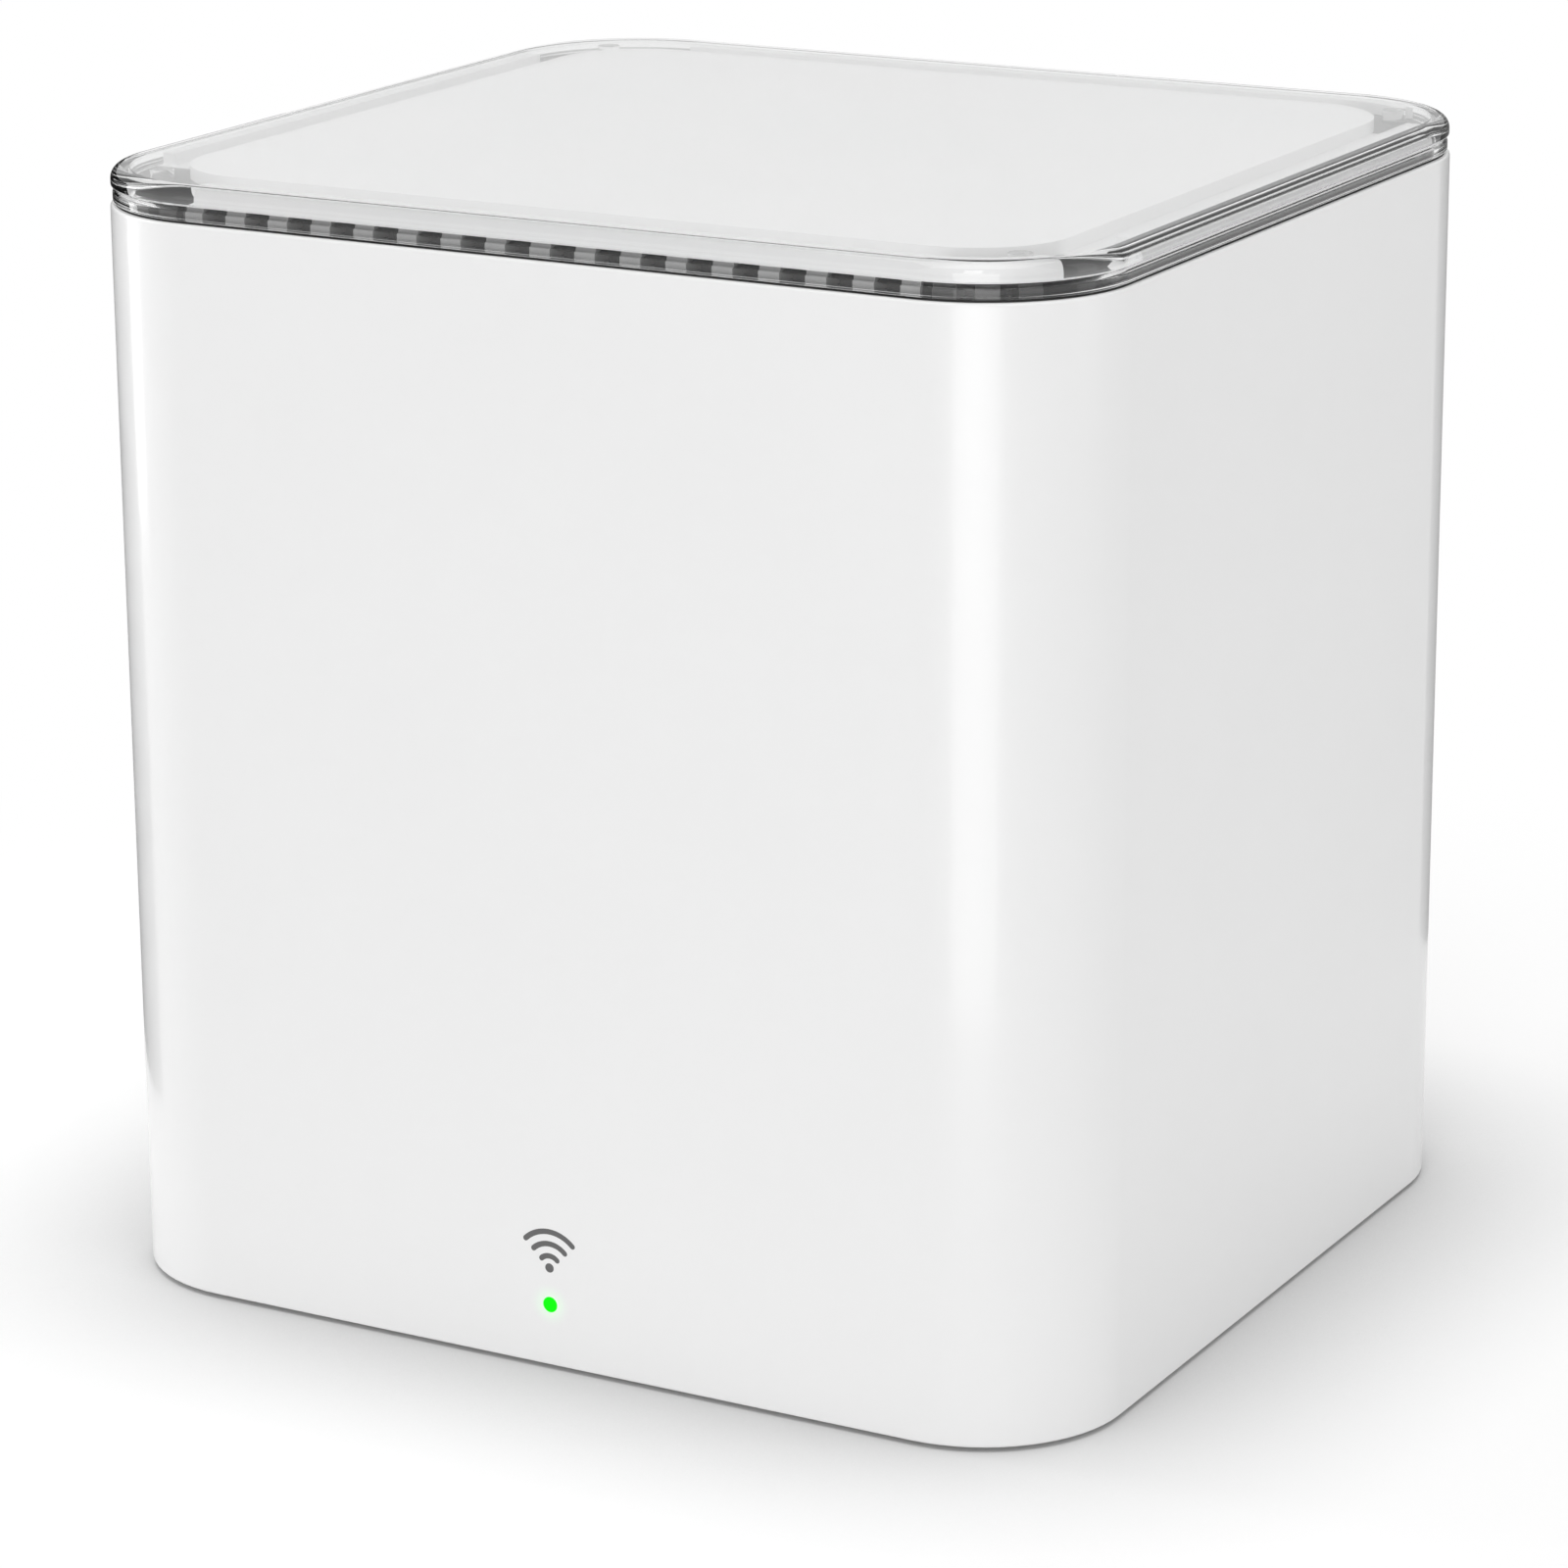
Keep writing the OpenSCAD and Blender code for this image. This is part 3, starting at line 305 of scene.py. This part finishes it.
DECK_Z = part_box("top_panel")[0].z       # the panel's underside
MATERIALS = {
    "white_gloss_plastic": plastic("white_gloss_plastic", 0.8, 0.36, depth=0.0000008, vary=0.004,
                                   coat=0.6),
    # the white plastic's dark lower steps and dark corners are painted shade deep in the vent
    "white_plastic": vent_plastic_painted_shade("white_plastic", (DECK_Z - 1.5 * MM, 0.03),
                                  (DECK_Z - 1.4 * MM, 0.2), (DECK_Z - 0.65 * MM, 0.34),
                                  (DECK_Z - 0.5 * MM, 0.8), (DECK_Z, 0.82)),
    "white_panel": plastic("white_panel", 0.94, 0.45, depth=0.0000006, vary=0.003),
    "clear_acrylic": clear_acrylic("clear_acrylic"),
    "black_mesh": mesh_screen("black_mesh"),
    "grey_ink": plastic("grey_ink", 0.11, 0.5, vary=0.06),
    "green_light": glowing("green_light", (0.0, 0.85, 0.0), 1.0),
    "black_foam": plastic("black_foam", 0.012, 0.9, grain=0.0002, depth=0.00003, vary=0.2),
    "base_plastic": plastic("base_plastic", 0.76, 0.5, depth=0.000012, vary=0.01, edge=0.00015),
    "grey_rubber": plastic("grey_rubber", 0.16, 0.85, grain=0.0002, depth=0.00001, vary=0.06),
    "steel": metal("steel", (0.62, 0.62, 0.61), 0.3, (1, 6, 1), edge=0.00008),
    "label_film": plastic("label_film", 0.62, 0.55, grain=0.00012, depth=0.000003, vary=0.015),
    "button_plastic": plastic("button_plastic", 0.5, 0.4, vary=0.02, edge=0.0001),
    "black_plastic": plastic("black_plastic", 0.018, 0.42, depth=0.000006, vary=0.12, edge=0.0001),
    "blue_plastic": plastic("blue_plastic", (0.02, 0.12, 0.42), 0.42, depth=0.000006, vary=0.06,
                            edge=0.0001),
    "gold": metal("gold", (0.93, 0.68, 0.3), 0.22),
    "green_board": board_mask("green_board", (0.012, 0.13, 0.05)),
    "chip_epoxy": plastic("chip_epoxy", 0.025, 0.6, depth=0.00001, vary=0.1),
    "thermal_pad": plastic("thermal_pad", (0.33, 0.43, 0.52), 0.8, depth=0.00002, vary=0.05),
    "aluminium": metal("aluminium", (0.78, 0.78, 0.79), 0.34, (1, 9, 1)),
    "ferrite": plastic("ferrite", 0.07, 0.7, depth=0.00002, vary=0.15),
    "ceramic_parts": plastic("ceramic_parts", (0.42, 0.32, 0.2), 0.5, vary=0.25),
    "grey_plastic": plastic("grey_plastic", 0.48, 0.5, depth=0.000008, vary=0.02),
    "copper": metal("copper", (0.9, 0.5, 0.32), 0.3),
    "lead_jacket": plastic("lead_jacket", 0.02, 0.5, depth=0.000006, vary=0.1),
}


PIPE = sum(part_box("light_pipe"), Vector()) / 2
glow_round(MATERIALS["white_gloss_plastic"], (PIPE.x, -HALF_D, PIPE.z), 2.4 * MM, (0.0, 0.16, 0.01))


def slot_of(node):
    for row in frame["record"]["subparts"]:
        if row["node"] == node:
            return row["material_slot"]
    raise KeyError(node)


def dress(obj, material):
    obj.data.materials.clear()
    obj.data.materials.append(material)


# ---------- pieces rebuilt with soft edges ----------

def softened(node, width, pick):
    """The CAD node's own mesh, welded, with its sharp edges that pick chooses rolled over."""
    mesh = bmesh.new()
    mesh.from_mesh(NODES[node].data)
    bmesh.ops.remove_doubles(mesh, verts=mesh.verts, dist=0.001 * MM)
    bmesh.ops.dissolve_limit(mesh, angle_limit=math.radians(0.3), verts=mesh.verts,
                             edges=mesh.edges, use_dissolve_boundaries=False)
    sharp = [e for e in mesh.edges
             if len(e.link_faces) == 2 and e.calc_face_angle(0) > CREASE and pick(e)]
    bmesh.ops.bevel(mesh, geom=sharp, offset=width, segments=3, profile=0.5, affect="EDGES",
                    clamp_overlap=True, material=-1)
    stand_for(finished(node + "_soft", mesh), node)


def on_sleeve_rim(edge):
    """True if the edge runs round the sleeve's outer side, at its top or its foot."""
    reach, skin_depth, corner = 0.03 * MM, 0.2 * MM, CORNER_R - 0.1 * MM

    def outside(point):
        dx = max(0.0, abs(point.x) - (HALF_W - corner))
        dy = max(0.0, abs(point.y) - (HALF_D - corner))
        return math.hypot(dx, dy) > corner - skin_depth

    ends = [v.co for v in edge.verts]
    level = any(all(abs(end.z - side.z) < reach for end in ends) for side in SLEEVE)
    return level and all(outside(end) for end in ends)


def arc(centre, radius, start, end, steps):
    """Points of an arc, as (inset, height), with angles in degrees from the outward level."""
    turns = [math.radians(start + (end - start) * i / steps) for i in range(steps + 1)]
    return [(centre[0] - radius * math.cos(t), centre[1] + radius * math.sin(t)) for t in turns]


def ring(inset, z):
    """The case's outline, moved in by inset, as points at height z."""
    steps = 28      # to a corner
    radius = CORNER_R - inset
    points = []
    for k in range(4):
        cx = HALF_W - CORNER_R if k in (0, 3) else CORNER_R - HALF_W
        cy = HALF_D - CORNER_R if k < 2 else CORNER_R - HALF_D
        for i in range(steps + 1):
            turn = math.radians(90 * (k + i / steps))
            points.append(Vector((cx + radius * math.cos(turn), cy + radius * math.sin(turn), z)))
    return points


def skin(mesh, rings):
    """Faces between rings of vertices, each ring closed."""
    rows = [[mesh.verts.new(p) for p in points] for points in rings]
    for low, high in zip(rows, rows[1:]):
        for i in range(len(low)):
            j = (i + 1) % len(low)
            mesh.faces.new((low[i], low[j], high[j], high[i]))
    return rows


def finished(name, mesh):
    """A new object from bmesh data, smooth but for its creases."""
    bmesh.ops.recalc_face_normals(mesh, faces=mesh.faces)
    for face in mesh.faces:
        face.smooth = True
    for edge in mesh.edges:
        edge.smooth = len(edge.link_faces) != 2 or edge.calc_face_angle(0) < CREASE
    made = bpy.data.meshes.new(name)
    mesh.to_mesh(made)
    mesh.free()
    piece = bpy.data.objects.new(name, made)
    bpy.context.scene.collection.objects.link(piece)
    weighted = piece.modifiers.new("even_faces", "WEIGHTED_NORMAL")
    weighted.keep_sharp = True
    weighted.weight = 80
    return piece


def stand_for(piece, node):
    """The piece takes the node's place on the case, with the node's finish."""
    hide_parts(node)
    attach(piece, "case")
    dress(piece, MATERIALS[slot_of(node)])


def clear_cap():
    """Clear cap: skirt, groove, slab with a rolled top edge, top plate and four round pins."""
    low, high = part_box("clear_cap")
    bottom, top = SLEEVE[1].z + 0.2 * MM, high.z
    plate_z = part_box("top_panel")[1].z + AIR    # underside of the plate, over the panel
    wall_in = 1.85 * MM                         # inset of the skirt's inner face
    edge = 1.15 * MM                            # radius of the slab's rolled edge
    # the profile as (inset, height), from the plate's underside down the skirt and up its outside
    section = [(wall_in, plate_z), (wall_in, bottom + 0.2 * MM)]
    section += arc((wall_in - 0.2 * MM, bottom + 0.2 * MM), 0.2 * MM, 180, 270, 3)
    section += arc((0.5 * MM, bottom + 0.25 * MM), 0.25 * MM, -90, 0, 4)
    section += arc((0.45 * MM, bottom + 0.85 * MM), 0.2 * MM, 0, 45, 3)
    section += [(inset * MM, bottom + up * MM)
                for inset, up in ((0.56, 1.25), (0.6, 1.33), (0.56, 1.42))]
    section += arc((0.22 * MM, bottom + 1.62 * MM), 0.12 * MM, -70, 0, 3)
    section += arc((0.1 * MM + edge, top - edge), edge, 0, 90, 9)
    mesh = bmesh.new()
    rows = skin(mesh, [ring(inset, z) for inset, z in section])
    mesh.faces.new(rows[0])
    mesh.faces.new(rows[-1])
    # the pins stand on the corners' diagonals, this far in from the case's outline
    pin_in, pin_top = 4.6 * MM, plate_z - AIR
    from_side = pin_in + (CORNER_R - pin_in) * (1 - math.sqrt(0.5))
    for sx, sy in CORNERS:
        pin = bmesh.ops.create_cone(mesh, cap_ends=True, segments=32, radius1=1.0 * MM,
                                    radius2=1.1 * MM, depth=pin_top - low.z)
        place = (sx * (HALF_W - from_side), sy * (HALF_D - from_side), (low.z + pin_top) / 2)
        bmesh.ops.translate(mesh, verts=pin["verts"], vec=place)
    stand_for(finished("clear_cap_shell", mesh), "clear_cap")


for node, obj in NODES.items():
    dress(obj, MATERIALS[slot_of(node)])
clear_cap()
softened("outer_sleeve", 0.28 * MM, on_sleeve_rim)


# ---------- stage: floor, backdrop, lights, camera ----------

def flat_panel(name, size, place, turn, material):
    """A level or upright sheet, size metres on each side."""
    mesh = bmesh.new()
    bmesh.ops.create_grid(mesh, x_segments=1, y_segments=1, size=0.5)
    bmesh.ops.scale(mesh, vec=(size[0], size[1], 1), verts=mesh.verts)
    made = bpy.data.meshes.new(name)
    mesh.to_mesh(made)
    mesh.free()
    panel = bpy.data.objects.new(name, made)
    panel.location = place
    panel.rotation_euler = turn
    bpy.context.scene.collection.objects.link(panel)
    made.materials.append(material)
    return panel


def seen_directly(s):
    """1 for camera, mirror and see-through rays, and 0 for the rays that light the object."""
    rays = s.node("LightPath").outputs
    return s.math("MAXIMUM", s.math("MAXIMUM", rays["Is Camera Ray"], rays["Is Glossy Ray"]),
                  rays["Is Transmission Ray"])


def floor_material(shadow_reach):
    """White floor: it shows its real shading and a contact shadow near the object, and a plain
    white further off. The contact shadow reaches shadow_reach metres."""
    s = Shader("studio_floor")
    s.set(Base_Color=(0.97, 0.97, 0.97, 1), Roughness=0.9, Specular_IOR_Level=0.0)
    near = s.node("AmbientOcclusion", samples=12, Distance=shadow_reach)
    glow = s.node("Emission", Strength=1.0)
    s.link(s.ramp(near.outputs["AO"], (0.35, 0.12), (0.6, 0.5), (0.85, 0.84), (1.0, 1.0)),
           glow.inputs["Color"])
    length = s.node("VectorMath", operation="LENGTH")
    s.link(s.place, length.inputs[0])
    whiteness = s.node("MapRange", interpolation_type="SMOOTHSTEP")
    for name, value in (("From Min", 0.06), ("From Max", 0.17), ("To Min", 0.55), ("To Max", 1.0)):
        whiteness.inputs[name].default_value = value
    s.link(length.outputs["Value"], whiteness.inputs["Value"])
    mix = s.node("MixShader")
    s.link(s.math("MULTIPLY", seen_directly(s), whiteness.outputs["Result"]), mix.inputs["Fac"])
    s.link(s.bsdf.outputs["BSDF"], mix.inputs[1])
    s.link(glow.outputs["Emission"], mix.inputs[2])
    s.link(mix.outputs["Shader"], s.output.inputs["Surface"])
    return s.material


def card_material(name, grey):
    s = Shader(name)
    glow = s.node("Emission", Strength=1.0)
    glow.inputs["Color"].default_value = (grey, grey, grey, 1)
    s.link(glow.outputs["Emission"], s.output.inputs["Surface"])
    return s.material


def card(name, grey, place, azimuth, size):
    """An upright card beside the object, seen only in its gloss: pale for a highlight, or dark."""
    centre = (*place, size[1] / 2)
    turn = (math.radians(90), 0, math.radians(azimuth))
    panel = flat_panel(name, size, centre, turn, card_material(name, grey))
    panel.visible_camera = False
    panel.visible_diffuse = False
    panel.visible_transmission = False
    panel.visible_shadow = False


def standing_softbox(name, azimuth, distance, size, power):
    """A tall area lamp that stands on the floor and faces the object."""
    made = softbox(name, azimuth, 0, distance, size, power)
    made.location.z = size[1] / 2
    made.rotation_euler = (math.radians(90), 0, math.radians(azimuth))


def softbox(name, azimuth, elevation, distance, size, power):
    """An area lamp that looks at the middle of the object. Azimuth is from -Y towards +X."""
    a, e = math.radians(azimuth), math.radians(elevation)
    lamp = bpy.data.lights.new(name, "AREA")
    lamp.shape = "RECTANGLE"
    lamp.size, lamp.size_y = size
    lamp.energy = power
    made = bpy.data.objects.new(name, lamp)
    away = Vector((math.sin(a) * math.cos(e), -math.cos(a) * math.cos(e), math.sin(e)))
    made.location = MIDDLE + distance * away
    made.rotation_euler = away.to_track_quat("Z", "Y").to_euler()
    made.visible_camera = False
    made.visible_transmission = False
    bpy.context.scene.collection.objects.link(made)
    return made


def world(level, backdrop):
    """An even pale studio: one level lights the object, and the other is what is seen."""
    studio = bpy.data.worlds.new("studio")
    bpy.context.scene.world = studio
    studio.use_nodes = True
    tree = studio.node_tree
    tree.nodes.clear()
    path = tree.nodes.new("ShaderNodeLightPath")
    seen = tree.nodes.new("ShaderNodeMath")
    seen.operation = "MAXIMUM"
    tree.links.new(path.outputs["Is Camera Ray"], seen.inputs[0])
    shine = tree.nodes.new("ShaderNodeMath")
    shine.operation = "MAXIMUM"
    tree.links.new(path.outputs["Is Glossy Ray"], shine.inputs[0])
    tree.links.new(path.outputs["Is Transmission Ray"], shine.inputs[1])
    tree.links.new(shine.outputs[0], seen.inputs[1])
    strength = tree.nodes.new("ShaderNodeMapRange")
    strength.inputs["To Min"].default_value = level
    strength.inputs["To Max"].default_value = backdrop
    tree.links.new(seen.outputs[0], strength.inputs["Value"])
    background = tree.nodes.new("ShaderNodeBackground")
    tree.links.new(strength.outputs["Result"], background.inputs["Strength"])
    output = tree.nodes.new("ShaderNodeOutputWorld")
    tree.links.new(background.outputs["Background"], output.inputs["Surface"])


def camera():
    """Stands to the right of the front, above the cap, with a long lens. Its numbers come from a
    fit to the case's edges."""
    lens = bpy.data.cameras.new("camera")
    lens.sensor_width = 36
    lens.lens = 128.08
    made = bpy.data.objects.new("camera", lens)
    bpy.context.scene.collection.objects.link(made)
    place = (0.244657, -0.442608, 0.192442)
    right = Vector((0.87488728, 0.484285, -0.00634746))
    up = Vector((-0.13215981, 0.25132129, 0.95883856))
    turn = Matrix((right, up, right.cross(up))).transposed()
    made.matrix_world = Matrix.Translation(place) @ turn.to_4x4()
    bpy.context.scene.camera = made


flat_panel("floor", (8, 8), (0, 0, 0), (0, 0, 0), floor_material(0.03))
world(0.75, 1.0)
standing_softbox("key", 20, 0.6, (0.13, 0.5), 0.6)
standing_softbox("left", -80, 0.36, (0.1, 0.42), 0.5)
standing_softbox("right", 98, 0.5, (0.14, 0.5), 0.15)
softbox("top", 20, 75, 0.8, (0.8, 0.8), 2.9)
card("glint_right", 2.6, (0.08, -0.15), 19, (0.07, 0.125))
card("flag_left", 0.03, (-0.095, 0.005), -90, (0.1, 0.115))
card("flag_back", 0.25, (0.03, 0.11), 180, (0.09, 0.115))
camera()
bpy.context.scene.view_settings.view_transform = "Standard"
